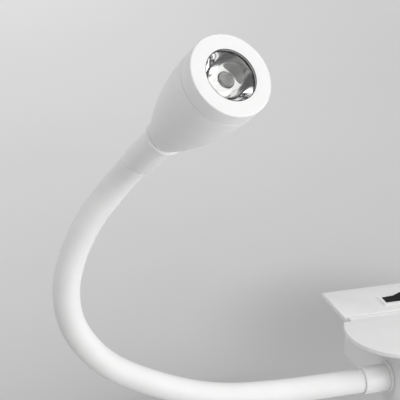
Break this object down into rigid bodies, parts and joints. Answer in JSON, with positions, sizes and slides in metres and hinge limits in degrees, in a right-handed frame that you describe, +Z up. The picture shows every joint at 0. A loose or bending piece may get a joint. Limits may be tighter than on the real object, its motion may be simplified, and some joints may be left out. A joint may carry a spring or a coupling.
{
  "type": "gooseneck wall sconce",
  "caption": "White LED reading sconce: a small spot head on a bendable neck that leaves the side of a shelf-topped wall base with a rocker switch.",
  "frame": {"origin": "on the wall, at the back face of the wall plate, midway between the two fixing slots", "axes": "+X to the right along the wall, +Y into the wall, +Z up; the room is on the -Y side"},
  "size_m": [0.3192, 0.1654, 0.2296],
  "materials": {
    "wall_steel": "zinc-plated sheet",
    "black_rubber": "matte",
    "white_plastic": "satin moulded",
    "screw_steel": "zinc-plated",
    "driver_plastic": "moulded",
    "green_board": "solder mask",
    "component": "taped and sleeved",
    "terminal_plastic": "moulded",
    "brass": "plain",
    "copper": "copper-coloured strip",
    "black_plastic": "fine texture",
    "white_collar": "satin white paint",
    "wire_brown": "insulated",
    "wire_red": "insulated",
    "neck_sleeve": "smooth white silicone",
    "conduit_steel": "wound",
    "white_aluminium": "satin white powder coat",
    "clear_lens": "clear moulded",
    "white_board": "white solder mask",
    "led_ceramic": "ceramic",
    "led_phosphor": "silicone over phosphor",
    "grey_pad": "soft",
    "bare_aluminium": "turned"
  },
  "bodies": {
    "base": {"wall_plate": "wall_steel", "cable_grommet": "black_rubber", "housing": "white_plastic", "top_shelf": "white_plastic", "shelf_screws": "screw_steel", "housing_screws": "screw_steel", "driver_case": "driver_plastic", "driver_lid": "driver_plastic", "driver_board": "green_board", "driver_parts": "component", "terminal_block": "terminal_plastic", "terminal_screws": "brass", "switch_body": "white_plastic", "switch_blades": "brass", "base_collar": "white_collar", "base_washer": "white_collar", "base_nut": "screw_steel", "mains_wires": "wire_brown", "lamp_wires": "wire_red", "neck_sleeve_1": "neck_sleeve", "neck_conduit_1": "conduit_steel", "neck_wires_1": "wire_red"},
    "neck_2": {"neck_sleeve_2": "neck_sleeve", "neck_conduit_2": "conduit_steel", "neck_wires_2": "wire_red"},
    "neck_3": {"neck_sleeve_3": "neck_sleeve", "neck_conduit_3": "conduit_steel", "neck_wires_3": "wire_red"},
    "neck_4": {"neck_sleeve_4": "neck_sleeve", "neck_conduit_4": "conduit_steel", "neck_wires_4": "wire_red"},
    "neck_5": {"neck_sleeve_5": "neck_sleeve", "neck_conduit_5": "conduit_steel", "neck_wires_5": "wire_red"},
    "neck_6": {"neck_sleeve_6": "neck_sleeve", "neck_conduit_6": "conduit_steel", "neck_wires_6": "wire_red"},
    "neck_7": {"neck_sleeve_7": "neck_sleeve", "neck_conduit_7": "conduit_steel", "neck_wires_7": "wire_red"},
    "head": {"neck_sleeve_8": "neck_sleeve", "neck_conduit_8": "conduit_steel", "neck_wires_8": "wire_red", "head_collar": "white_collar", "head_washer": "white_collar", "head_nut": "screw_steel", "head_shell": "white_aluminium", "front_bezel": "white_aluminium", "bezel_seal": "black_rubber", "lens": "clear_lens", "lens_holder": "black_plastic", "led_board": "white_board", "led_package": "led_ceramic", "led_dome": "led_phosphor", "thermal_pad": "grey_pad", "board_screws": "screw_steel", "heat_sink": "bare_aluminium", "head_leads": "wire_red"},
    "rocker": {"switch_rocker": "black_plastic", "switch_contact": "copper"}
  },
  "joints": [
    {"name": "neck_lift_1", "type": "hinge", "parent": "base", "child": "neck_2", "pos_m": [-0.10889, -0.05794, 0.00136], "axis": [-0.1136, 0.9935, 0.0092], "range_deg": [-25, 25]},
    {"name": "neck_sway_2", "type": "hinge", "parent": "neck_2", "child": "neck_3", "pos_m": [-0.14222, -0.06267, 0.00594], "axis": [0.1917, 0, 0.9815], "range_deg": [-8, 25]},
    {"name": "neck_lift_3", "type": "hinge", "parent": "neck_3", "child": "neck_4", "pos_m": [-0.17426, -0.06746, 0.01603], "axis": [-0.1067, 0.9932, 0.0472], "range_deg": [-25, 25]},
    {"name": "neck_sway_4", "type": "hinge", "parent": "neck_4", "child": "neck_5", "pos_m": [-0.20394, -0.07127, 0.03209], "axis": [0.5436, 0, 0.8393], "range_deg": [-8, 25]},
    {"name": "neck_lift_5", "type": "hinge", "parent": "neck_5", "child": "neck_6", "pos_m": [-0.22661, -0.07418, 0.05678], "axis": [-0.0284, 0.9982, 0.0532], "range_deg": [-25, 25]},
    {"name": "neck_sway_6", "type": "hinge", "parent": "neck_6", "child": "neck_7", "pos_m": [-0.2305, -0.07468, 0.08976], "axis": [0.9677, 0, -0.2521], "range_deg": [-15, 25]},
    {"name": "neck_lift_7", "type": "hinge", "parent": "neck_7", "child": "head", "pos_m": [-0.21666, -0.07726, 0.12045], "axis": [0.1021, 0.9833, 0.1509], "range_deg": [-25, 25]},
    {"name": "switch_rock", "type": "hinge", "parent": "base", "child": "rocker", "pos_m": [-0.04, -0.019, 0.0226], "axis": [0, 1, 0], "range_deg": [0, 24]}
  ]
}
